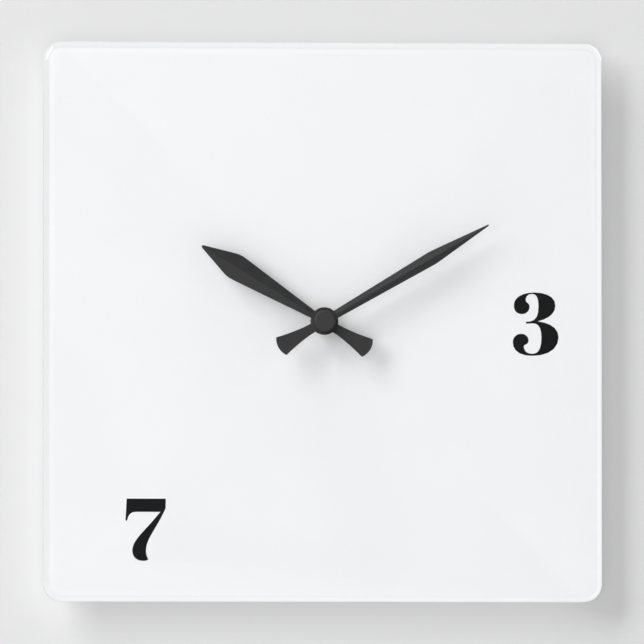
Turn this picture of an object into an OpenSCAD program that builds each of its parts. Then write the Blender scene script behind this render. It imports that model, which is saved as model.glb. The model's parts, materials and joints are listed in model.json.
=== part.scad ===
// Square wall clock: a thick clear dial plate over a white printed backing, carried by a
// battery quartz movement with its case, gear train, motor coil, hands and steel hanger.
// Millimetres, +Z up, viewed along +Y. The origin is on the hands' axis at the wall plane.
// Sub-parts are drawn flat (x right, y up, z away from the wall) and stood up by up_wall().

/* [Dial] */
// Side of the square dial plate
dial_side = 273; // [200:1:320]
// Thickness of the clear plate
dial_thick = 6; // [3:0.5:10]
// Plan radius of the four corners
corner_r = 8.8; // [6:0.1:20]
// Radius of the rounded front edge
edge_round = 2.6; // [1:0.1:5]
// Thickness of the white printed backing
backing_thick = 0.3; // [0.2:0.1:1]
// How far the backing stops short of the plate's edge
backing_inset = 0; // [0:0.1:3]

/* [Hands] */
// Minute hand length from the axis
minute_len = 93.4; // [60:0.1:110]
// Hour hand length from the axis
hour_len = 70; // [45:0.1:85]
// Minute hand greatest blade width
minute_wide = 6.7; // [4:0.1:10]
// Hour hand greatest blade width
hour_wide = 12.5; // [6:0.1:16]
// Clock angle of the minute hand, degrees from twelve
minute_angle = 59.6; // [0:0.1:359]
// Clock angle of the hour hand, degrees from twelve
hour_angle = 301.5; // [0:0.1:359]
// Radius of the round hub plate
hub_r = 6.75; // [5:0.25:9]
// Radius of the centre cap
cap_r = 5.2; // [4:0.1:6.5]
// Slope of the pressed ridge along each hand
ridge_slope = 7; // [2:1:12]
// Sheet thickness of the hands
hand_sheet = 0.45; // [0.3:0.05:0.8]

/* [Movement] */
// Side of the square movement case
case_side = 56; // [56:1:60]
// Wall of the moulded case
case_wall = 1.2; // [1:0.1:2]
// Corner radius of the case
case_corner = 3; // [1:0.5:6]
// Outside radius of the threaded bushing
bush_r = 3.95; // [3.5:0.05:4.5]
// Across flats of the dial nut
nut_flats = 10; // [9:0.5:11]

/* [Battery] */
// Radius of the cell
cell_r = 7; // [7:0.05:7.1]
// Cell body length without its positive nub
cell_len = 49.5; // [49:0.1:49.8]

/* [Hidden] */
$fn = 96;

// Heights above the wall of the stacked layers.
cover_t = 1.5;
inner_z = 15;
case_z = 16.5;
gasket_z = 17.3;
plate_z = gasket_z + backing_thick;
face_z = plate_z + dial_thick;
washer_z = face_z + 0.6;
nut_z = washer_z + 2.4;
bush_z = nut_z + 1;
hour_z = 28.4;
minute_z = 30.6;
cap_z = minute_z + 1.2;
cap_top = 36;
inner_half = case_side / 2 - case_wall;
run_gap = 0.05;
pivot_r = 0.4;
pipe_flat = 2.5;
case_edge = 0.8;
ink_t = 0.1;
hole_gap = 0.15;
// Contact strips run along the inside of the two side walls.
strip_in = 26.4;
strip_t = 0.35;
strip_out = strip_in + strip_t;
strip_y = -9.6;
// Levels inside the movement, from the wall side up.
minute_level = 10.6;
cannon_level = 12;
hour_level = 13.6;
magnet_r = 2.3;
magnet_hole = 2.8;
// Rear cover: locating rim, hooks and the sunk panel.
rim_out = 26.7;
rim_t = 1;
hook_half = 2.5;
panel_deep = 0.3;
// Hanger tab bent from strip.
tab_t = 1;
tab_z = 0.3;
tab_top = 40;
tab_corner = 4;

// Wheels: teeth, modules and centres of each meshing pair.
m_minute = 0.27;
m_fifth = 0.29;
m_rotor = 0.22;
m_cannon = 0.3;
minute_t = 64;
leaf_t = 8;
big_t = 60;
fifth_t = 40;
fifth_p = 10;
cannon_t = 14;
motion_t = 42;
motion_p = 10;
hour_t = 40;
stem_t = 18;
third_dist = m_minute * (minute_t + leaf_t) / 2;
m_third = third_dist / ((big_t + leaf_t) / 2);
fifth_dist = m_fifth * (big_t + fifth_p) / 2;
rotor_dist = m_rotor * (fifth_t + leaf_t) / 2;
motion_dist = m_cannon * (cannon_t + motion_t) / 2;
m_hour = motion_dist / ((motion_p + hour_t) / 2);
stem_dist = m_cannon * (motion_t + stem_t) / 2;
third_dir = 20;
fifth_dir = 100;
rotor_dir = 120;
motion_dir = 190;
stem_dir = 150;
function polar(r, a) = [r * cos(a), r * sin(a)];
third_at = polar(third_dist, third_dir);
fifth_at = polar(fifth_dist, fifth_dir);
rotor_at = fifth_at + polar(rotor_dist, rotor_dir);
motion_at = polar(motion_dist, motion_dir);
stem_at = motion_at + polar(stem_dist, stem_dir);
// Turn that sets a tooth of wheel b in a gap of wheel a, standing in direction dir from it.
function mesh_turn(dir, za, turn_a, zb) =
  dir + 180 + 180 / zb - (turn_a - dir) * za / zb;
turn_third = mesh_turn(third_dir, minute_t, 0, leaf_t);
turn_second = mesh_turn(third_dir + 180, big_t, turn_third, leaf_t);
turn_fifth = mesh_turn(fifth_dir, big_t, turn_second, fifth_p);
turn_rotor = mesh_turn(rotor_dir, fifth_t, turn_fifth, leaf_t);
turn_motion = mesh_turn(motion_dir, cannon_t, 0, motion_t);
turn_hour = mesh_turn(motion_dir + 180, motion_p, turn_motion, hour_t);
turn_stem = mesh_turn(stem_dir, motion_t, turn_motion, stem_t);

// Battery bay, motor and board positions.
bay_y = -19.3;
bay_z = 7.95;
bay_top = -12.1;
bay_wall = 1;
cell_x = -24.25;
bridge_z = 5.4;
bridge_t = 0.8;
coil_y = 22;
coil_z = 4.9;
coil_left = -12.2;
coil_right = 7.2;
coil_r = 2.9;
core_w = 2;
core_t = 1;
knob_r = 5.5;
knob_well = 6.5;
hang_half = 11;
hang_screw_x = 7;
hang_screw_z = 10.5;
screw_posts = [[20, 12], [20, -8], [-21, -8], [-21, 14]];
stator_pins = [[-15.7, 12.6], [10.7, 12.6]];
hook_spots = [[-20, 90], [20, 90], [12, 0], [12, 180]];

// Numeral shapes measured from the lower left of each figure.
three_at = [93.1, -16.2];
seven_at = [-96.3, -116.7];

black = [0.06, 0.06, 0.065];
white = [0.93, 0.93, 0.95];
steel = [0.72, 0.73, 0.75];
brass = [0.78, 0.62, 0.3];
nylon = [0.9, 0.88, 0.82];
copper = [0.72, 0.38, 0.2];
clear = [0.85, 0.92, 0.96, 0.35];

// ---- helpers ----
module up_wall() {
  rotate([90, 0, 0]) children();
}

module lift(z) {
  translate([0, 0, z]) children();
}

module at(p, z) {
  translate([p[0], p[1], z]) children();
}

module slab(x0, y0, z0, x1, y1, z1) {
  translate([x0, y0, z0]) cube([x1 - x0, y1 - y0, z1 - z0]);
}

module rounded_square(side, r) {
  half = side / 2 - r;
  square([side, 2 * half], center = true);
  square([2 * half, side], center = true);
  for (sx = [-1, 1], sy = [-1, 1]) {
    translate([sx * half, sy * half]) circle(r);
  }
}

// A tube or rod between two heights.
module rod(r, z0, z1) {
  translate([0, 0, z0]) cylinder(r = r, h = z1 - z0);
}

module ring(r_out, r_in, z0, z1) {
  difference() {
    rod(r_out, z0, z1);
    rod(r_in, z0 - 1, z1 + 1);
  }
}

// One clock tooth centred on +x: slim, with a rounded tip.
function tooth_pts(m, z, thick, add) =
  let (
    r = m * z / 2,
    half = thick * 180 / z,
    root = r - 1.2 * m,
    foot = half * 1.15
  )
  [
    polar(root - 0.3 * m, -foot),
    polar(root, -foot),
    polar(r, -half),
    polar(r + 0.6 * add * m, -half * 0.72),
    polar(r + add * m, -half * 0.3),
    polar(r + add * m, half * 0.3),
    polar(r + 0.6 * add * m, half * 0.72),
    polar(r, half),
    polar(root, foot),
    polar(root - 0.3 * m, foot)
  ];

module gear_2d(m, z, thick, add) {
  circle(m * z / 2 - 1.25 * m);
  for (i = [0 : z - 1]) {
    rotate(i * 360 / z) polygon(tooth_pts(m, z, thick, add));
  }
}

module wheel_gear(m, z, z0, z1) {
  lift(z0) linear_extrude(z1 - z0) gear_2d(m, z, 0.42, 0.85);
}

module pinion_gear(m, z, z0, z1) {
  lift(z0) linear_extrude(z1 - z0) gear_2d(m, z, 0.38, 0.75);
}

// Round lightening holes in a wheel's web.
module web_holes(count, dist, r, z0, z1) {
  for (i = [0 : count - 1]) {
    rotate(i * 360 / count) translate([dist, 0, 0]) rod(r, z0 - 1, z1 + 1);
  }
}

// Points of a cubic curve after its first point.
function curve(a, b, c, d, n = 5) =
  [for (i = [1 : n])
    let (t = i / n, s = 1 - t)
    s * s * s * a + 3 * s * s * t * b + 3 * s * t * t * c + t * t * t * d];

// Section of a plate's rim, with its upper outer edge rounded.
module edge_profile(r, thick, edge) {
  square([r, thick - edge]);
  square([r - edge, thick]);
  translate([r - edge, thick - edge]) intersection() {
    circle(edge);
    square(edge);
  }
}

// A square plate with rounded corners and one rounded face edge.
module soft_plate(side, r, thick, edge) {
  half = side / 2 - r;
  translate([-half, -half, 0]) cube([2 * half, 2 * half, thick]);
  for (k = [0 : 3]) rotate(k * 90) translate([half, half, 0]) {
    rotate_extrude(angle = 90) edge_profile(r, thick, edge);
    rotate([90, 0, 0]) linear_extrude(2 * half) edge_profile(r, thick, edge);
  }
}

// ---- dial ----
module dial_plate() {
  color(clear) up_wall() difference() {
    lift(plate_z) soft_plate(dial_side, corner_r, dial_thick, edge_round);
    rod(bush_r + hole_gap, plate_z - 1, face_z + 1);
  }
}

module dial_backing() {
  color(white) up_wall() difference() {
    lift(gasket_z) linear_extrude(backing_thick) {
      rounded_square(dial_side - 2 * backing_inset, corner_r - backing_inset);
    }
    rod(bush_r + hole_gap, gasket_z - 1, plate_z + 1);
    lift(plate_z - ink_t) linear_extrude(1) three_2d();
    lift(plate_z - ink_t) linear_extrude(1) seven_2d();
  }
}

module three_2d() {
  translate(three_at) scale([1.022, 1]) polygon(concat(
    [[10.4, 31.0]],
    curve([10.4, 31.0], [16.3, 31.0], [20.5, 28.9], [20.5, 24.6]),
    curve([20.5, 24.6], [20.5, 20.6], [16.9, 18.0], [12.0, 16.9]),
    curve([12.0, 16.9], [18.0, 16.2], [22.0, 13.6], [22.0, 9.1]),
    curve([22.0, 9.1], [22.0, 3.3], [16.8, 0], [9.3, 0]),
    curve([9.3, 0], [3.2, 0], [0, 2.6], [0, 6.6]),
    curve([0, 6.6], [0, 9.0], [1.6, 10.8], [4.0, 10.8]),
    curve([4.0, 10.8], [6.1, 10.8], [7.6, 9.4], [7.6, 7.4]),
    curve([7.6, 7.4], [7.6, 6.3], [6.8, 5.6], [5.7, 5.3], 3),
    curve([5.7, 5.3], [5.0, 4.9], [5.2, 3.4], [6.2, 2.1], 3),
    curve([6.2, 2.1], [7.0, 1.3], [8.2, 1.0], [9.6, 1.0], 3),
    curve([9.6, 1.0], [12.6, 1.0], [13.75, 4.2], [13.75, 9.1]),
    curve([13.75, 9.1], [13.75, 13.6], [12.4, 16.1], [9.4, 15.9]),
    [[6.4, 15.7], [6.3, 16.6]],
    curve([6.3, 16.6], [10.4, 16.6], [12.35, 18.4], [12.35, 23.9]),
    curve([12.35, 23.9], [12.35, 28.2], [11.6, 30.3], [9.3, 30.3]),
    curve([9.3, 30.3], [7.4, 30.3], [6.3, 29.2], [6.2, 27.6], 3),
    curve([6.2, 27.6], [6.2, 26.6], [6.5, 26.2], [7.1, 25.9], 2),
    curve([7.1, 25.9], [7.8, 25.4], [8.1, 24.8], [8.1, 24.0], 3),
    curve([8.1, 24.0], [8.1, 21.9], [6.5, 20.4], [4.3, 20.4]),
    curve([4.3, 20.4], [2.0, 20.4], [0.5, 22.1], [0.5, 24.6]),
    curve([0.5, 24.6], [0.5, 28.6], [4.6, 31.0], [10.4, 31.0], 6)
  ));
}

module seven_2d() {
  translate(seven_at) polygon(concat(
    [[0.56, 30.35], [19.65, 30.35], [19.6, 25.7]],
    curve([19.6, 25.7], [17.6, 21.0], [14.6, 16.4], [11.8, 11.4], 6),
    curve([11.8, 11.4], [10.2, 8.2], [9.6, 5.4], [10.3, 2.65], 6),
    [[11.2, 0.6]],
    curve([11.2, 0.6], [10.2, 0.1], [9.4, 0], [8.7, 0], 2),
    curve([8.7, 0], [5.4, 0], [3.3, 1.9], [3.3, 5.15]),
    curve([3.3, 5.15], [3.3, 9.4], [8.0, 13.6], [12.5, 18.6], 7),
    [[17.0, 23.9], [5.0, 23.9]],
    curve([5.0, 23.9], [2.8, 23.9], [1.4, 22.8], [0.8, 19.8], 4),
    [[0.4, 19.4], [0, 19.8]]
  ));
}

module numeral_3() {
  color(black) up_wall() lift(plate_z - ink_t) linear_extrude(ink_t) three_2d();
}

module numeral_7() {
  color(black) up_wall() lift(plate_z - ink_t) linear_extrude(ink_t) seven_2d();
}

// ---- hands ----
// Half outlines run from the hub to the tip: a straight flare, a shoulder, a long taper.
hour_half = [
  [1.85, 0],
  [1.85, 5],
  [6.1, 48],
  [hour_wide / 2, 50.3],
  [hour_wide / 2 - 0.2, 52.4],
  [5.63, 54],
  [0.75, hour_len - 0.7],
  [0.45, hour_len - 0.15],
  [0, hour_len]
];
minute_half = [
  [2, 0],
  [2, 5],
  [3.3, 58.5],
  [minute_wide / 2, 60.8],
  [minute_wide / 2 - 0.09, 62.6],
  [3.1, 64.5],
  [0.64, minute_len - 3.4],
  [0.4, minute_len - 0.7],
  [0, minute_len]
];
// Both tails flare in a hollow curve to a slightly domed end.
tail_side = [[2.3, 0], [2.3, 7], [2.45, 10], [2.93, 14], [3.6, 18], [4, 20], [4.43, 22],
  [4.72, 23.2], [5, 24.4]];
tail_end_r = 9;

module mirrored(half) {
  polygon(concat(half, [[0, 0]]));
  mirror([1, 0]) polygon(concat(half, [[0, 0]]));
}

module tail_2d(reach) {
  intersection() {
    mirror([0, 1]) mirrored(concat(tail_side, [[5.6, reach + 2], [0, reach + 2]]));
    union() {
      translate([0, tail_end_r - reach]) circle(tail_end_r);
      translate([-tail_end_r, tail_end_r - reach]) square([2 * tail_end_r, reach]);
    }
  }
}

// A flat sheet hand whose blade is pressed to a low ridge along its middle.
module pressed_hand(half, len, reach, top) {
  span = 9;
  low = span * tan(ridge_slope);
  lift(top) intersection() {
    lift(-5) linear_extrude(10) mirrored(half);
    rotate([90, 0, 0]) translate([0, 0, -len - 1]) linear_extrude(len + 1) {
      polygon([[0, 0], [span, -low], [span, -low - hand_sheet], [0, -hand_sheet],
        [-span, -low - hand_sheet], [-span, -low]]);
    }
  }
  lift(top - 0.6) linear_extrude(hand_sheet) tail_2d(reach);
}

module hour_hand() {
  color(black) up_wall() lift(hour_z) rotate(-hour_angle) difference() {
    union() {
      pressed_hand(hour_half, hour_len, 26.4, 1);
      rod(hub_r - 0.4, 0.1, 1);
      rod(3.5, -0.4, 0.1);
    }
    rod(2.55, -1, 2);
  }
}

module minute_hand() {
  color(black) up_wall() lift(minute_z) rotate(-minute_angle) difference() {
    union() {
      pressed_hand(minute_half, minute_len, 25.9, 1.15);
      rod(hub_r, 0.2, 1.2);
      rod(2.6, 0, 0.2);
    }
    intersection() {
      rod(1.6, -1, 2);
      cube([pipe_flat, 4, 6], center = true);
    }
  }
}

module hand_nut() {
  color(brass) up_wall() difference() {
    lift(cap_z) cylinder(r = 2.75, h = 1.6, $fn = 6);
    rod(1.6, cap_z - 1, cap_z + 2);
  }
}

module centre_cap() {
  color(black) up_wall() difference() {
    lift(cap_z) rotate_extrude() polygon([[0, 0], [cap_r, 0], [cap_r, 3.6],
      [cap_r - 0.1, 3.9], [cap_r - 0.32, 4.12], [cap_r - 0.6, cap_top - cap_z],
      [0, cap_top - cap_z]]);
    rod(2.8, cap_z - 1, cap_z + 2.8);
  }
}

// ---- dial fixing ----
module hex_nut() {
  color(brass) up_wall() difference() {
    intersection() {
      lift(washer_z) cylinder(d = nut_flats / cos(30), h = nut_z - washer_z, $fn = 6);
      lift(washer_z) rotate_extrude() polygon([[0, 0], [nut_flats / 2 + 0.75, 0],
        [nut_flats / 2 + 0.75, 1.9], [nut_flats / 2 + 0.05, 2.4], [0, 2.4]]);
    }
    rod(bush_r + 0.02, washer_z - 1, nut_z + 1);
  }
}

module flat_washer() {
  color(brass) up_wall() ring(6.2, bush_r + 0.1, face_z, washer_z);
}

module rubber_gasket() {
  color(black) up_wall() ring(11, bush_r + 0.1, case_z, gasket_z);
}

module threaded_bushing() {
  pitch = 0.75;
  rings = 9;
  first = 20.55;
  color(brass) up_wall() difference() {
    union() {
      intersection() {
        rod(5.2, inner_z, inner_z + 0.7);
        cube([12, 9.2, 60], center = true);
      }
      rotate_extrude() polygon(concat(
        [[0, inner_z], [bush_r, inner_z]],
        [for (i = [0 : rings - 1]) each [
          [bush_r, first + i * pitch],
          [bush_r - 0.3, first + (i + 0.5) * pitch]]],
        [[bush_r, bush_z - 0.3], [bush_r - 0.3, bush_z], [0, bush_z]]
      ));
    }
    rod(2.6, inner_z - 1, bush_z + 1);
  }
}

// ---- case ----
module post_for(p, tip_z, r, pivot_depth) {
  at(p, 0) difference() {
    rod(r, tip_z, inner_z + 0.5);
    rod(pivot_r + run_gap, tip_z - 1, tip_z + pivot_depth);
  }
}

module cradle_rib(x) {
  difference() {
    slab(x - 0.6, -inner_half, bay_z, x + 0.6, bay_top, inner_z);
    translate([0, bay_y, bay_z]) rotate([0, 90, 0]) translate([0, 0, x - 2]) {
      cylinder(r = cell_r + 0.05, h = 4);
    }
  }
}

module front_case() {
  color(black) up_wall() {
    difference() {
      union() {
        difference() {
          lift(cover_t) soft_plate(case_side, case_corner, case_z - cover_t, case_edge);
          lift(0) linear_extrude(inner_z) rounded_square(2 * inner_half, case_corner - case_wall);
        }
        // partition above the battery bay
        slab(-inner_half, bay_top, cover_t, inner_half, bay_top + bay_wall, inner_z);
        cradle_rib(-15);
        cradle_rib(15);
        for (p = screw_posts) at(p, 0) rod(1.8, bridge_z + bridge_t, inner_z);
      }
      rod(bush_r, inner_z - 1, case_z + 1);
      intersection() {
        rod(5.2, inner_z - 1, inner_z + 0.7);
        cube([12, 9.2, 60], center = true);
      }
      for (p = screw_posts) at(p, 0) rod(0.8, 0, 11);
      for (x = [-hang_screw_x, hang_screw_x]) {
        translate([x, 20, hang_screw_z]) rotate([-90, 0, 0]) cylinder(r = 0.8, h = 10);
      }
      // snap windows for the cover's hooks
      for (h = hook_spots) rotate(h[1]) {
        slab(inner_half - 1, hook_y(h) - hook_half - 0.2, 4, case_side / 2 + 1,
          hook_y(h) + hook_half + 0.2, 5.4);
      }
      // slots that pass the contact strips through the partition
      slab(inner_half - 1.2, bay_top - 1, 3, inner_half, bay_top + 3, 6);
      slab(-inner_half, bay_top - 1, 3, 1.2 - inner_half, bay_top + 3, 6);
    }
    post_for(third_at, 12.2, 1.1, 0.9);
    post_for(fifth_at, 9.3, 0.95, 0.9);
    post_for(rotor_at, 8, 1, 0.9);
    post_for(stem_at, 13.6, 1.6, 1.1);
    at(motion_at, 0) rod(0.8, 11.9, inner_z + 0.5);
  }
}

// Sideways place of a hook on the wall it is turned to.
function hook_y(h) = h[1] == 90 ? -h[0] : (h[1] == 180 ? -h[0] : h[0]);

module rear_cover() {
  color(black) up_wall() difference() {
    union() {
      lift(cover_t) mirror([0, 0, 1]) soft_plate(case_side, case_corner, cover_t, case_edge);
      // locating rim inside the walls
      intersection() {
        difference() {
          slab(-rim_out, bay_top + 1.1, 1, rim_out, rim_out, 2.6);
          slab(rim_t - rim_out, bay_top + 1.1 + rim_t, 0, rim_out - rim_t, rim_out - rim_t, 4);
        }
        linear_extrude(5) rounded_square(2 * rim_out, case_corner - case_wall + 0.1);
      }
      at(stem_at, 0) rod(knob_well + 0.8, 0, 3.5);
      at(rotor_at, 0) rod(1.4, 1, 2.2);
      for (h = hook_spots) rotate(h[1]) {
        slab(rim_out - rim_t, hook_y(h) - hook_half, 1, rim_out, hook_y(h) + hook_half, 5.1);
        translate([0, hook_y(h) + hook_half, 0]) rotate([90, 0, 0]) linear_extrude(2 * hook_half) {
          polygon([[rim_out - 0.1, 4.2], [rim_out + 0.8, 4.2], [rim_out, 5.1],
            [rim_out - 0.1, 5.1]]);
        }
      }
    }
    slab(-26.4, -26.7, -1, 26.4, -12, 3);
    slab(-strip_out, -16, 1.2, -25, -8, 4);
    slab(25, -16, 1.2, strip_out, -8, 4);
    at(stem_at, 0) rod(knob_well, -1, 2.7);
    at(stem_at, 0) rod(1 + run_gap, -1, 5);
    at(rotor_at, 0) rod(pivot_r + run_gap, 1.6, 3);
    // thumb notch beside the battery bay
    translate([12, -12, -1]) cylinder(r = 5, h = 1.8);
    // sunk panel and the groove round the knob
    lift(-1) linear_extrude(1 + panel_deep) translate([10, 9]) square([26, 20], center = true);
    at(stem_at, 0) difference() {
      rod(knob_well + 1.9, -1, panel_deep);
      rod(knob_well + 1.1, -2, 1);
    }
  }
}

module hanger() {
  color(steel) up_wall() difference() {
    union() {
      slab(-hang_half, case_side / 2, tab_z, hang_half, tab_top - tab_corner, tab_z + tab_t);
      slab(tab_corner - hang_half, case_side / 2, tab_z, hang_half - tab_corner, tab_top,
        tab_z + tab_t);
      for (s = [-1, 1]) at([s * (hang_half - tab_corner), tab_top - tab_corner], 0) {
        rod(tab_corner, tab_z, tab_z + tab_t);
      }
      // foot screwed to the top of the case
      slab(-hang_half, case_side / 2, tab_z, hang_half, case_side / 2 + tab_t, 14);
    }
    // opening that hangs on a wall nail
    lift(-1) linear_extrude(3.5) {
      polygon([[-6.8, 30.4], [6.8, 30.4], [2.4, 35], [-2.4, 35]]);
      translate([0, 35]) circle(2.4);
      translate([0, 36.8]) circle(1.3);
    }
    for (x = [-hang_screw_x, hang_screw_x]) {
      translate([x, 27, hang_screw_z]) rotate([-90, 0, 0]) cylinder(r = 1.1, h = 3);
    }
  }
}

// Pan head screw pointing down -z with its head under z = 0 at the origin.
module pan_screw(shank, head_r, head_h, length) {
  difference() {
    union() {
      rotate_extrude() polygon([[0, 0], [head_r, 0], [head_r, 0.55 * head_h],
        [0.8 * head_r, 0.9 * head_h], [0.5 * head_r, head_h], [0, head_h]]);
      rotate_extrude() polygon([[0, 0.1], [shank, 0.1], [shank, -length + 0.6], [0, -length]]);
    }
    translate([0, 0, 0.5 * head_h + 2]) cube([1.3 * head_r, 0.4, 4], center = true);
    translate([0, 0, 0.5 * head_h + 2]) cube([0.4, 1.3 * head_r, 4], center = true);
  }
}

module hanger_screws() {
  color(steel) up_wall() for (x = [-hang_screw_x, hang_screw_x]) {
    translate([x, 29, hang_screw_z]) rotate([-90, 0, 0]) pan_screw(0.8, 1.9, 1.2, 5);
  }
}

module bridge_screws() {
  color(steel) up_wall() for (p = screw_posts) {
    at(p, bridge_z) rotate([180, 0, 0]) pan_screw(0.8, 1.6, 1, 5);
  }
}

module gear_bridge() {
  color(nylon) up_wall() {
    difference() {
      lift(bridge_z) linear_extrude(bridge_t) difference() {
        translate([-23.4, -10.6]) square([46.8, 29]);
        translate([stem_at[0], stem_at[1]]) circle(1.4);
        translate([rotor_at[0], rotor_at[1]]) circle(1.5);
        translate([third_at[0], third_at[1]]) circle(pivot_r + run_gap);
        translate([fifth_at[0], fifth_at[1]]) circle(pivot_r + run_gap);
        circle(pivot_r + run_gap);
        for (p = screw_posts) translate(p) circle(0.9);
        translate([12, -10.6]) circle(3);
        translate([-10, -10.6]) circle(3);
      }
    }
    for (p = stator_pins) at(p, 0) rod(0.8, 2.9, bridge_z);
  }
}

// ---- going train ----
module rotor_magnet() {
  color(steel) up_wall() at(rotor_at, 0) ring(magnet_r, pivot_r, 2.6, 5);
}

module rotor_pinion() {
  color(nylon) up_wall() at(rotor_at, 0) rotate(turn_rotor) {
    rod(pivot_r, 1.7, 8.8);
    pinion_gear(m_rotor, leaf_t, 6.4, 7.5);
  }
}

module fifth_wheel() {
  color(nylon) up_wall() at(fifth_at, 0) rotate(turn_fifth) {
    rod(pivot_r, 5.5, 10.1);
    rod(0.7, 6.4, 8.9);
    difference() {
      wheel_gear(m_rotor, fifth_t, 6.6, 7.2);
      web_holes(4, 2.6, 0.8, 6, 8);
    }
    pinion_gear(m_fifth, fifth_p, 7.6, 8.8);
  }
}

module second_wheel() {
  color(nylon) up_wall() rotate(turn_second) {
    rod(pivot_r, 5.5, 7);
    rod(0.6, 6.7, 33.8);
    rod(1.2, 7.6, 9);
    difference() {
      wheel_gear(m_fifth, big_t, 7.9, 8.5);
      web_holes(5, 5, 1.9, 7, 9);
    }
    pinion_gear(m_third, leaf_t, 8.9, 10.1);
  }
}

module third_wheel() {
  color(nylon) up_wall() at(third_at, 0) rotate(turn_third) {
    rod(pivot_r, 5.5, 13);
    rod(0.7, 8.6, 11.8);
    difference() {
      wheel_gear(m_third, big_t, 9.2, 9.8);
      web_holes(5, 4.9, 1.9, 8, 11);
    }
    pinion_gear(m_minute, leaf_t, 10.3, 11.7);
  }
}

module minute_wheel() {
  color(nylon) up_wall() difference() {
    union() {
      wheel_gear(m_minute, minute_t, minute_level, minute_level + 0.8);
      rod(2.6, minute_level - 0.3, minute_level + 0.8);
    }
    rod(1.62, 10, 12);
    web_holes(6, 5.3, 1.6, 10, 12);
  }
}

module minute_pipe() {
  color(brass) up_wall() difference() {
    union() {
      rod(1.6, minute_level - 0.3, 34.2);
      pinion_gear(m_cannon, cannon_t, cannon_level, cannon_level + 1.2);
    }
    rod(0.65, 9, 36);
    rotate(-minute_angle) for (side = [0, 180]) rotate(side) {
      slab(pipe_flat / 2, -3, minute_z, 3, 3, 36);
    }
    for (z = [32.2 : 0.5 : 33.8]) ring(2, 1.45, z, z + 0.2);
  }
}

module clutch_spring() {
  color(brass) up_wall() difference() {
    union() {
      rod(2.4, 11.4, 11.6);
      for (i = [0 : 2]) rotate(i * 120) {
        slab(0, -0.7, 11.4, 5.6, 0.7, 11.6);
        translate([5.6, 0, 0]) rod(0.7, 11.4, 11.6);
      }
      rod(1.9, 11.6, 11.95);
    }
    rod(1.6, 11, 13);
  }
}

// ---- motion work and setting ----
module motion_wheel() {
  color(nylon) up_wall() at(motion_at, 0) rotate(turn_motion) difference() {
    union() {
      wheel_gear(m_cannon, motion_t, 12.2, 13);
      rod(1.25, 12.2, 14.7);
      pinion_gear(m_hour, motion_p, 13.4, 14.7);
    }
    rod(0.8 + run_gap, 11, 16);
    web_holes(4, 3.6, 1.1, 12, 13.2);
  }
}

module hour_wheel() {
  color(nylon) up_wall() rotate(turn_hour) difference() {
    union() {
      wheel_gear(m_hour, hour_t, hour_level, hour_level + 0.9);
      rod(2.55, hour_level - 0.2, 29.9);
      rod(3.4, hour_level - 0.2, hour_level + 1.2);
    }
    rod(1.6 + run_gap, 12, 31);
    web_holes(5, 4.9, 0.9, 13, 15);
  }
}

module setting_stem() {
  color(nylon) up_wall() at(stem_at, 0) rotate(turn_stem) {
    rod(1, 1.4, 13.4);
    rod(pivot_r + 0.05, 13, 14.6);
    pinion_gear(m_cannon, stem_t, cannon_level, cannon_level + 1.2);
  }
}

module setting_knob() {
  grips = 28;
  step = 360 / grips;
  color(black) up_wall() at(stem_at, 0) difference() {
    lift(0.7) linear_extrude(1.7) polygon([for (i = [0 : grips - 1]) each [
      polar(knob_r, (i - 0.2) * step), polar(knob_r, (i + 0.2) * step),
      polar(knob_r - 0.35, (i + 0.4) * step), polar(knob_r - 0.35, (i + 0.6) * step)]]);
    rod(1, 1.4, 3);
    rod(3.6, 0, 1.1);
  }
}

// ---- motor and electronics ----
module stator() {
  color(steel) up_wall() lift(3.4) linear_extrude(1) difference() {
    union() {
      translate([-18, 10.4]) square([31, 8.2]);
      translate([-18, 10.4]) square([4.5, 13.8]);
      translate([8.5, 10.4]) square([4.5, 13.8]);
    }
    translate([rotor_at[0], rotor_at[1]]) circle(magnet_hole);
    translate([rotor_at[0] - 0.4, rotor_at[1] + 3.3]) square([0.8, 3]);
    translate([rotor_at[0] - 0.4, rotor_at[1] - 5.3]) square([0.8, 2]);
    for (p = stator_pins) translate(p) circle(0.82);
  }
}

module coil_core() {
  color(steel) up_wall() {
    slab(-17.6, coil_y - core_w / 2, coil_z - core_t / 2, 12.6, coil_y + core_w / 2,
      coil_z + core_t / 2);
    slab(-17.6, coil_y - 2, coil_z - core_t / 2, -13.8, coil_y + 2, coil_z + core_t / 2);
    slab(8.8, coil_y - 2, coil_z - core_t / 2, 12.6, coil_y + 2, coil_z + core_t / 2);
  }
}

module coil_bobbin() {
  color(nylon) up_wall() difference() {
    union() {
      translate([coil_left, coil_y, coil_z]) rotate([0, 90, 0]) {
        cylinder(r = 1.5, h = coil_right - coil_left);
      }
      for (x = [coil_left - 0.8, coil_right]) {
        slab(x, coil_y - 3.05, coil_z - 3.05, x + 0.8, coil_y + 3.05, coil_z + 3.05);
      }
    }
    slab(-20, coil_y - core_w / 2, coil_z - core_t / 2, 20, coil_y + core_w / 2,
      coil_z + core_t / 2);
  }
}

module coil_winding() {
  color(copper) up_wall() translate([coil_left, coil_y, coil_z]) rotate([0, 90, 0]) {
    ring(coil_r, 1.5, 0, coil_right - coil_left);
  }
}

// A straight round wire between two points.
module wire(a, b, r) {
  d = b - a;
  len = norm(d);
  translate(a) rotate([0, acos(d[2] / len), atan2(d[1], d[0])]) cylinder(r = r, h = len + r / 2);
}

module coil_leads() {
  lead_r = 0.12;
  color(copper) up_wall() {
    wire([coil_right + 0.9, coil_y - 1.5, 2.4], [14, 19, 2.6], lead_r);
    wire([14, 19, 2.6], [14, 9.2, 3.9], lead_r);
    wire([coil_right + 0.9, coil_y - 0.2, 2.4], [16, 19.5, 2.6], lead_r);
    wire([16, 19.5, 2.6], [16, 9.2, 3.9], lead_r);
  }
}

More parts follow.
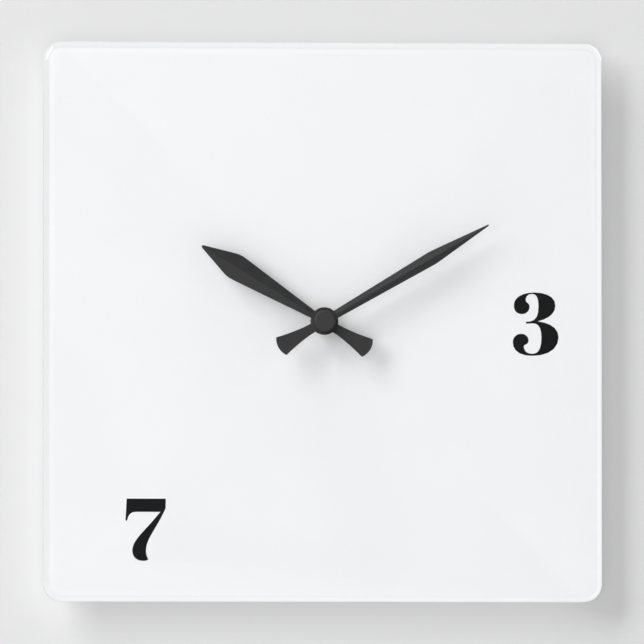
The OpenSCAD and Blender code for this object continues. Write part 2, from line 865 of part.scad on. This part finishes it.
module circuit_board() {
  color([0.16, 0.4, 0.22]) up_wall() difference() {
    slab(0, -10.4, 4.2, 24.6, 9.8, 5);
    at([20, -8], 0) rod(2.2, 3, 6);
    at([3, -7], 0) rod(0.6, 3, 6);
    at([21.5, 7.5], 0) rod(0.6, 3, 6);
  }
}

module quartz_crystal() {
  color(steel) up_wall() translate([14.5, -6.5, 3.15]) rotate([0, -90, 0]) {
    cylinder(r = 1.05, h = 6.2);
    rod(0.95, -0.5, 0);
    for (s = [-1, 1]) translate([0, s * 0.4, 0]) rod(0.12, -2.4, -0.4);
  }
}

module chip_blob() {
  color(black) up_wall() translate([9, 2.5, 4.2]) rotate([180, 0, 0]) {
    rotate_extrude() polygon([[0, 0], [3.2, 0], [3.1, 0.4], [2.6, 0.9], [1.8, 1.25],
      [0.9, 1.42], [0, 1.45]]);
  }
}

module positive_contact() {
  color(steel) up_wall() {
    slab(strip_in, -23.5, 3, strip_out, -14, 13);
    slab(strip_in, -14.5, 3.3, strip_out, strip_y, 5.6);
    slab(22.5, strip_y - strip_t, 3.3, strip_out, strip_y, 4.1);
  }
}

module negative_contact() {
  color(steel) up_wall() {
    slab(-strip_out, -23.5, 3, -strip_in, -14, 13);
    slab(-strip_out, -14.5, 3.3, -strip_in, strip_y, 5.6);
    slab(-strip_out, strip_y - strip_t, 3.4, 1.2, strip_y, 4.15);
    // folded leaf that presses on the cell
    translate([0, 0, 4.5]) linear_extrude(7) {
      polygon([[-strip_in, -22.6], [-strip_in, -22.2], [-24.7, -19.6], [-24.7, -19],
        [-strip_in, -16.4], [-strip_in, -16], [-24.35, -19], [-24.35, -19.6]]);
    }
  }
}

// ---- cell ----
module along_cell(x) {
  translate([x, bay_y, bay_z]) rotate([0, 90, 0]) children();
}

module battery_sleeve() {
  color([0.2, 0.22, 0.25]) up_wall() along_cell(cell_x) {
    ring(cell_r, cell_r - 0.2, 0.4, cell_len - 0.4);
  }
}

module battery_can() {
  color(steel) up_wall() along_cell(cell_x) difference() {
    union() {
      rod(cell_r - 0.2, 0.2, cell_len - 0.2);
      rod(2.75, cell_len - 0.4, cell_len + 0.95);
    }
    rod(cell_r - 0.5, -1, cell_len - 0.5);
  }
}

module battery_core() {
  color(black) up_wall() along_cell(cell_x) rod(cell_r - 0.5, 0.8, cell_len - 0.5);
}

module battery_negative() {
  color(steel) up_wall() along_cell(cell_x) {
    rod(cell_r - 0.52, 0.2, 0.8);
    rod(4.4, 0, 0.3);
  }
}

dial_plate();
dial_backing();
numeral_3();
numeral_7();
hour_hand();
minute_hand();
hand_nut();
centre_cap();
hex_nut();
flat_washer();
rubber_gasket();
front_case();
threaded_bushing();
rear_cover();
hanger();
hanger_screws();
gear_bridge();
bridge_screws();
rotor_magnet();
rotor_pinion();
fifth_wheel();
second_wheel();
third_wheel();
minute_wheel();
minute_pipe();
clutch_spring();
motion_wheel();
hour_wheel();
setting_stem();
setting_knob();
stator();
coil_core();
coil_bobbin();
coil_winding();
coil_leads();
circuit_board();
quartz_crystal();
chip_blob();
positive_contact();
negative_contact();
battery_sleeve();
battery_can();
battery_core();
battery_negative();
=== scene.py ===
"""Square wall clock: looks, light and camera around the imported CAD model."""
import json
import math

import bpy
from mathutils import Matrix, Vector


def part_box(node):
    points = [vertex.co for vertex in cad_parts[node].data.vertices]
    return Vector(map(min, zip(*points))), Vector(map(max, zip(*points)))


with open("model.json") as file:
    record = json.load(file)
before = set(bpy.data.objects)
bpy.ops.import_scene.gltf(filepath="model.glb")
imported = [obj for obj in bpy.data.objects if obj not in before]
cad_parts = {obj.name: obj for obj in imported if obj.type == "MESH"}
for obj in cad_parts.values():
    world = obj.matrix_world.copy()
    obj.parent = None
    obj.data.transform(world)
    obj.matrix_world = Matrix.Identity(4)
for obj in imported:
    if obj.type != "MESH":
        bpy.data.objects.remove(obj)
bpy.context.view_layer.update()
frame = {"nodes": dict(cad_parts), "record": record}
NODES = frame["nodes"]
scene = bpy.context.scene
scene.view_settings.view_transform = "Standard"

# Lengths are in metres.
# The plate's corner radius, the width of its rounded rim and of the step where the band of painted
# shade and painted highlight under it starts.
RIM_R, RIM_WIDE, PAINTED_RIM_STEP = 0.0088, 0.0026, 0.0004
# The reach of the fine painted shade line there, and the place and reach of the painted highlight
# beside it.
SHADE_LINE_REACH, HIGHLIGHT_AT, HIGHLIGHT_REACH = 0.0005, 0.0044, 0.0016
# Distance from the axis, towards either corner, over which the rim's painted light changes from its
# upper-left side to its lower-right side.
PAINTED_LIGHT_REACH = 0.16


# ---- shader building ----
class Tree:
    """A material's node tree, with short calls for the nodes used here."""

    def __init__(self, name):
        self.m = bpy.data.materials.new(name)
        self.m.use_nodes = True
        self.nt = self.m.node_tree
        self.nt.nodes.clear()
        self.out = self.nt.nodes.new("ShaderNodeOutputMaterial")
        self.where = self.nt.nodes.new("ShaderNodeTexCoord").outputs["Object"]

    def node(self, kind, **inputs):
        n = self.nt.nodes.new("ShaderNode" + kind)
        for key, value in inputs.items():
            self.put(n.inputs[key.replace("_", " ")], value)
        return n

    def put(self, socket, value):
        if isinstance(value, bpy.types.NodeSocket):
            self.nt.links.new(value, socket)
        else:
            socket.default_value = value

    def noise(self, scale, detail=4.0, rough=0.5, stretch=None):
        at = self.where
        if stretch:
            at = self.node("Mapping", Vector=at, Scale=stretch).outputs[0]
        n = self.node("TexNoise", Vector=at, Scale=scale, Detail=detail, Roughness=rough)
        return n.outputs["Fac"]

    def span(self, value, lo, hi, a=0.0, b=1.0):
        """Maps a value's range a..b onto lo..hi, held at both ends."""
        n = self.node("MapRange", Value=value)
        n.inputs["From Min"].default_value = a
        n.inputs["From Max"].default_value = b
        n.inputs["To Min"].default_value = lo
        n.inputs["To Max"].default_value = hi
        return n.outputs[0]

    def spike(self, value, centre, reach):
        """One at a centre value, falling to nothing at a distance from it."""
        rise = self.span(value, 0.0, 1.0, centre - reach, centre)
        fall = self.span(value, 1.0, 0.0, centre, centre + reach)
        n = self.node("Math")
        n.operation = "MULTIPLY"
        self.put(n.inputs[0], rise)
        self.put(n.inputs[1], fall)
        return n.outputs[0]

    def vector(self, operation, one, two=None):
        n = self.node("VectorMath")
        n.operation = operation
        self.put(n.inputs[0], one)
        if two is not None:
            self.put(n.inputs[1], two)
        return n.outputs["Value" if operation in ("LENGTH", "DOT_PRODUCT") else "Vector"]

    def mix(self, factor, one, two):
        n = self.node("Mix")
        n.data_type = "RGBA"
        self.put(n.inputs[0], factor)
        self.put(n.inputs[6], one)
        self.put(n.inputs[7], two)
        return n.outputs[2]

    def bump(self, height, distance):
        return self.node("Bump", Height=height, Distance=distance, Strength=1.0).outputs[0]

    def surface(self, shader):
        self.nt.links.new(shader, self.out.inputs["Surface"])
        return self.m

    def principled(self, **inputs):
        return self.node("BsdfPrincipled", **inputs).outputs[0]


def rgb(r, g, b):
    return (r, g, b, 1.0)


def shade(c, k):
    return (c[0] * k, c[1] * k, c[2] * k, 1.0)


def plastic(name, colour, rough, grain=9000.0, depth=2e-5, mottle=0.06, spec=0.5):
    """Moulded plastic: spark grain, slow mottle and uneven gloss."""
    t = Tree(name)
    slow = t.noise(90.0, 3.0)
    fine = t.noise(grain, 2.0, 0.6)
    base = t.mix(slow, shade(colour, 1 - mottle), shade(colour, 1 + mottle))
    gloss = t.span(t.noise(420.0, 5.0), rough - 0.06, rough + 0.07, 0.3, 0.7)
    p = t.node("BsdfPrincipled", Base_Color=base, Roughness=gloss, Normal=t.bump(fine, depth))
    p.inputs["Specular IOR Level"].default_value = spec
    return t.surface(p.outputs[0])


def metal(name, colour, rough, lines=None, depth=4e-6, stain=0.08):
    """Bare or plated metal with drawn lines, faint stains and scratches."""
    t = Tree(name)
    stretch = lines or (1.0, 1.0, 1.0)
    drawn = t.noise(900.0, 6.0, 0.65, stretch)
    slow = t.noise(140.0, 4.0)
    base = t.mix(slow, shade(colour, 1 - stain), shade(colour, 1 + stain))
    gloss = t.span(drawn, rough - 0.08, rough + 0.1, 0.3, 0.7)
    p = t.node("BsdfPrincipled", Base_Color=base, Roughness=gloss, Normal=t.bump(drawn, depth))
    p.inputs["Metallic"].default_value = 1.0
    return t.surface(p.outputs[0])


def clear_plate():
    """Clear acrylic that bends sight and lets lamps through to the print behind it."""
    t = Tree("clear_acrylic")
    glass = t.node("BsdfGlass", Color=rgb(0.995, 0.998, 1.0), IOR=1.49)
    glass.inputs["Roughness"].default_value = 0.0
    open_ = t.node("BsdfTransparent", Color=rgb(0.98, 0.983, 0.985))
    path = t.node("LightPath")
    bounced = t.node("MixShader", Fac=path.outputs["Is Diffuse Ray"])
    t.put(bounced.inputs[1], glass.outputs[0])
    t.put(bounced.inputs[2], open_.outputs[0])
    mixed = t.node("MixShader", Fac=path.outputs["Is Shadow Ray"])
    t.put(mixed.inputs[1], bounced.outputs[0])
    t.put(mixed.inputs[2], open_.outputs[0])
    return t.surface(mixed.outputs[0])


def printed_white():
    """White print, carrying painted light under the plate's rounded rim: a faint painted shade
    line, a painted highlight beside it, and a band of painted shade at the upper left and painted
    highlight at the lower right.
    """
    t = Tree("white_print")
    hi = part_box("dial_plate")[1]
    flat = t.vector("MULTIPLY", t.where, (1, 0, 1))
    past = t.vector("SUBTRACT", t.vector("ABSOLUTE", flat), (hi[0] - RIM_R, 0, hi[2] - RIM_R))
    out = t.vector("LENGTH", t.vector("MAXIMUM", past, (0, 0, 0)))
    slant = t.vector("DOT_PRODUCT", t.where, (0.7, 0, -0.7))
    # Painted light: the rim's painted tones change from the upper left, where the light comes from,
    # to the lower right.
    painted_light_slant = t.span(slant, 0.0, 1.0, -PAINTED_LIGHT_REACH, PAINTED_LIGHT_REACH)
    inner = RIM_R - RIM_WIDE
    # Band of painted shade and painted highlight under the rounded rim.
    painted_rim_mask = t.span(out, 0.0, 1.0, inner, inner + PAINTED_RIM_STEP)
    # Fine line of painted shade where the rim starts.
    line = t.spike(out, inner, SHADE_LINE_REACH)
    # Painted highlight just inside the rim.
    painted_highlight_mask = t.spike(out, RIM_R - HIGHLIGHT_AT, HIGHLIGHT_REACH)
    fibre = t.noise(2600.0, 4.0, 0.6)
    base = t.mix(t.noise(14.0, 3.0), rgb(0.925, 0.926, 0.935), rgb(0.937, 0.938, 0.947))
    # Painted light tones: the rim band is painted shade at the upper left and painted highlight at
    # the lower right, the line is painted shade, and the highlight is brightest at the upper left.
    painted_rim_tone = t.mix(painted_light_slant, rgb(0.895, 0.896, 0.902), rgb(0.985, 0.985, 0.985))
    painted_shade_line_tone = t.mix(painted_light_slant, rgb(0.84, 0.84, 0.848), rgb(0.915, 0.915, 0.918))
    painted_highlight_tone = t.mix(painted_light_slant, rgb(0.962, 0.963, 0.970), rgb(0.935, 0.936, 0.94))
    base = t.mix(painted_rim_mask, t.mix(painted_highlight_mask, base, painted_highlight_tone), painted_rim_tone)
    base = t.mix(line, base, painted_shade_line_tone)
    p = t.node("BsdfPrincipled", Base_Color=base, Roughness=t.span(fibre, 0.5, 0.62),
               Normal=t.bump(fibre, 5e-6))
    return t.surface(p.outputs[0])


def ink():
    t = Tree("black_ink")
    dots = t.noise(5200.0, 3.0, 0.6)
    base = t.mix(dots, rgb(0.004, 0.004, 0.0045), rgb(0.0065, 0.0065, 0.007))
    p = t.node("BsdfPrincipled", Base_Color=base, Roughness=t.span(dots, 0.42, 0.55),
               Normal=t.bump(dots, 3e-6))
    p.inputs["Specular IOR Level"].default_value = 0.2
    return t.surface(p.outputs[0])


def hand_enamel():
    """Satin black enamel on pressed sheet: fine orange peel and a few dull patches."""
    t = Tree("hand_black")
    peel = t.noise(3800.0, 3.0, 0.55)
    slow = t.noise(260.0, 4.0)
    base = t.mix(slow, rgb(0.007, 0.007, 0.0075), rgb(0.0105, 0.0105, 0.011))
    p = t.node("BsdfPrincipled", Base_Color=base, Roughness=t.span(slow, 0.4, 0.52, 0.3, 0.7),
               Normal=t.bump(peel, 1.2e-5))
    p.inputs["Specular IOR Level"].default_value = 0.62
    return t.surface(p.outputs[0])


def wound_copper():
    """Turns of enamelled wire laid side by side along the coil."""
    t = Tree("copper")
    wave = t.node("TexWave", Vector=t.where, Scale=1600.0, Distortion=0.6, Detail=1.0)
    wave.bands_direction = "X"
    # The darker part of each band is painted shade in the groove between turns.
    base = t.mix(wave.outputs["Fac"], rgb(0.42, 0.15, 0.06), rgb(0.80, 0.36, 0.17))
    p = t.node("BsdfPrincipled", Base_Color=base, Roughness=t.span(t.noise(700.0), 0.25, 0.4),
               Normal=t.bump(wave.outputs["Fac"], 8e-5))
    p.inputs["Metallic"].default_value = 1.0
    p.inputs["Coat Weight"].default_value = 0.6
    return t.surface(p.outputs[0])


def board():
    """Green solder mask with faint tracks under it."""
    t = Tree("board_green")
    tracks = t.node("TexBrick", Vector=t.where, Scale=420.0)
    tracks.inputs["Mortar Size"].default_value = 0.03
    base = t.mix(tracks.outputs["Fac"], rgb(0.02, 0.13, 0.055), rgb(0.035, 0.2, 0.085))
    p = t.node("BsdfPrincipled", Base_Color=base, Roughness=t.span(t.noise(800.0), 0.25, 0.38),
               Normal=t.bump(tracks.outputs["Fac"], 2e-5))
    return t.surface(p.outputs[0])


def cell_label():
    """Plain dark shrink sleeve with a copper band at the positive end."""
    t = Tree("battery_label")
    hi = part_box("battery_sleeve")[1]
    x = t.node("SeparateXYZ", Vector=t.where).outputs[0]
    band_wide, line_wide, soft = 0.013, 9e-4, 2e-5
    edge = hi[0] - band_wide
    band = t.span(x, 0.0, 1.0, edge - soft, edge + soft)
    line = t.span(x, 1.0, 0.0, edge - line_wide, edge - line_wide + 2 * soft)
    dark = t.mix(t.noise(300.0), rgb(0.012, 0.014, 0.02), rgb(0.02, 0.022, 0.03))
    pale = t.mix(line, rgb(0.7, 0.7, 0.68), dark)
    base = t.mix(band, pale, rgb(0.62, 0.27, 0.09))
    p = t.node("BsdfPrincipled", Base_Color=base, Roughness=t.span(t.noise(240.0, 5.0), 0.22, 0.36),
               Normal=t.bump(t.noise(500.0, 3.0), 2e-5))
    p.inputs["Coat Weight"].default_value = 0.4
    return t.surface(p.outputs[0])


MATERIALS = {
    "clear_acrylic": clear_plate(),
    "white_print": printed_white(),
    "black_ink": ink(),
    "hand_black": hand_enamel(),
    "cap_black": plastic("cap_black", (0.017, 0.017, 0.0175), 0.5, 5200.0, 1e-5),
    "brass": metal("brass", (0.78, 0.58, 0.28), 0.3, (1.0, 6.0, 1.0)),
    "rubber": plastic("rubber", (0.022, 0.022, 0.022), 0.8, 5200.0, 3e-5, 0.15, 0.3),
    "case_black": plastic("case_black", (0.022, 0.022, 0.024), 0.56, 3400.0, 3.5e-5, 0.1),
    "zinc_steel": metal("zinc_steel", (0.62, 0.64, 0.67), 0.36, (8.0, 1.0, 1.0)),
    "frame_plastic": plastic("frame_plastic", (0.62, 0.61, 0.57), 0.5),
    "magnet": metal("magnet", (0.13, 0.13, 0.14), 0.5),
    "gear_plastic": plastic("gear_plastic", (0.8, 0.79, 0.73), 0.42, 5200.0, 1e-5, 0.03),
    "core_steel": metal("core_steel", (0.5, 0.51, 0.53), 0.4, (10.0, 1.0, 1.0)),
    "copper": wound_copper(),
    "board_green": board(),
    "epoxy_black": plastic("epoxy_black", (0.012, 0.012, 0.013), 0.22, 900.0, 4e-5, 0.1),
    "contact_steel": metal("contact_steel", (0.74, 0.74, 0.76), 0.2, (1.0, 1.0, 5.0)),
    "battery_label": cell_label(),
    "battery_mix": plastic("battery_mix", (0.03, 0.03, 0.03), 0.85, 2600.0, 8e-5, 0.2),
}

slot_of = {s["node"]: s["material_slot"] for s in frame["record"]["subparts"]}
for node, obj in NODES.items():
    obj.data.materials.clear()
    obj.data.materials.append(MATERIALS[slot_of[node]])


# Shades each long strip of the plate's edge with one normal, so light runs straight along it.
# A weight of 100 lets the largest face set the normal.
FACE_WEIGHT = 100
strips = NODES["dial_plate"].modifiers.new("strips", "EDGE_SPLIT")
strips.split_angle = math.radians(1.0)
flat_sides = NODES["dial_plate"].modifiers.new("flat_sides", "WEIGHTED_NORMAL")
flat_sides.weight = FACE_WEIGHT
flat_sides.keep_sharp = True


# ---- wall, floor, light and camera ----
def stage_plane(name, corners, material):
    mesh = bpy.data.meshes.new(name)
    mesh.from_pydata(corners, [], [(0, 1, 2, 3)])
    obj = bpy.data.objects.new(name, mesh)
    scene.collection.objects.link(obj)
    mesh.materials.append(material)
    return obj


def wall_material():
    """Pale paint on the side that faces the room, nothing on the back."""
    t = Tree("wall_paint")
    plaster = t.noise(60.0, 6.0, 0.6)
    base = t.mix(plaster, rgb(0.731, 0.731, 0.733), rgb(0.741, 0.741, 0.743))
    p = t.node("BsdfDiffuse", Color=base)
    hole = t.node("BsdfTransparent")
    back = t.node("NewGeometry").outputs["Backfacing"]
    mixed = t.node("MixShader", Fac=back)
    t.put(mixed.inputs[1], p.outputs[0])
    t.put(mixed.inputs[2], hole.outputs[0])
    return t.surface(mixed.outputs[0])


def floor_material():
    t = Tree("floor_paint")
    base = t.mix(t.noise(20.0, 5.0), rgb(0.70, 0.70, 0.70), rgb(0.74, 0.74, 0.74))
    return t.surface(t.principled(Base_Color=base, Roughness=0.7))


WALL_Y, WALL_HALF, FLOOR_Z, FLOOR_HALF = 0.0004, 3.0, -1.25, 9.0
wall = stage_plane(
    "wall",
    [(-WALL_HALF, WALL_Y, FLOOR_Z), (WALL_HALF, WALL_Y, FLOOR_Z),
     (WALL_HALF, WALL_Y, WALL_HALF), (-WALL_HALF, WALL_Y, WALL_HALF)],
    wall_material(),
)
wall.visible_diffuse = wall.visible_glossy = wall.visible_shadow = False
stage_plane(
    "floor",
    [(-FLOOR_HALF, -FLOOR_HALF, FLOOR_Z), (FLOOR_HALF, -FLOOR_HALF, FLOOR_Z),
     (FLOOR_HALF, FLOOR_HALF, FLOOR_Z), (-FLOOR_HALF, FLOOR_HALF, FLOOR_Z)],
    floor_material(),
)


def aim(obj, target):
    obj.rotation_mode = "QUATERNION"
    obj.rotation_quaternion = (Vector(target) - obj.location).to_track_quat("-Z", "Y")


def soft_light(name, place, size, watts):
    data = bpy.data.lights.new(name, "AREA")
    data.shape, data.energy = "RECTANGLE", watts
    data.size, data.size_y = size
    obj = bpy.data.objects.new(name, data)
    obj.location = place
    obj.visible_camera = False
    scene.collection.objects.link(obj)
    aim(obj, (0, 0, 0))
    return obj


soft_light("window", (-3.7, -3.7, 2.96), (2.57, 4.86), 263.0)
soft_light("front_fill", (-0.53, -3.56, -0.18), (2.0, 2.0), 31.5).visible_glossy = False
soft_light("low_bounce", (1.28, -1.6, -1.91), (1.6, 1.6), 12.0).visible_glossy = False
soft_light("back_soft", (1.2, 1.6, 1.0), (1.4, 1.4), 16.0)
# Lights reflections only, for the shine along the upper side of the minute hand's ridge.
soft_light("ridge_glint", (-1.25, -3.65, 1.05), (1.2, 1.2), 36.0).visible_diffuse = False


def room_light():
    """Even pale surroundings, dim straight in front of the dial and bright behind the wall."""
    w = bpy.data.worlds.new("room")
    w.use_nodes = True
    nt = w.node_tree
    facing = nt.nodes.new("ShaderNodeSeparateXYZ")
    nt.links.new(nt.nodes.new("ShaderNodeTexCoord").outputs["Generated"], facing.inputs[0])
    total = nt.nodes.new("ShaderNodeMath")
    # Each ramp runs along the room's depth: where it starts and ends, then its two strengths.
    for i, ramp in enumerate(((-0.97, -0.7, 0.06, 0.32), (0.1, 0.6, 0.0, 0.46))):
        part = nt.nodes.new("ShaderNodeMapRange")
        part.interpolation_type = "SMOOTHSTEP"
        for key, value in zip(("From Min", "From Max", "To Min", "To Max"), ramp):
            part.inputs[key].default_value = value
        nt.links.new(facing.outputs[1], part.inputs["Value"])
        nt.links.new(part.outputs[0], total.inputs[i])
    back = nt.nodes["Background"]
    back.inputs[0].default_value = (0.99, 0.993, 1.0, 1)
    nt.links.new(total.outputs[0], back.inputs[1])
    return w


scene.world = room_light()

plate_lo, plate_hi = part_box("dial_plate")
AIM_SHIFT = Vector((-0.0004, 0.0, 0.0))
middle = (Vector(plate_lo) + Vector(plate_hi)) / 2 + AIM_SHIFT
YAW, PITCH, DISTANCE = math.radians(4.15), math.radians(2.45), 6.0
VIEW_WIDTH = 0.3142
cam = bpy.data.cameras.new("camera")
cam_obj = bpy.data.objects.new("camera", cam)
scene.collection.objects.link(cam_obj)
cam.sensor_width = 36.0
cam.lens = cam.sensor_width * DISTANCE / VIEW_WIDTH
cam_obj.location = middle + DISTANCE * Vector(
    (-math.sin(YAW) * math.cos(PITCH), -math.cos(YAW) * math.cos(PITCH), -math.sin(PITCH))
)
aim(cam_obj, middle)
cam.clip_start, cam.clip_end = 0.05, 60.0
scene.camera = cam_obj
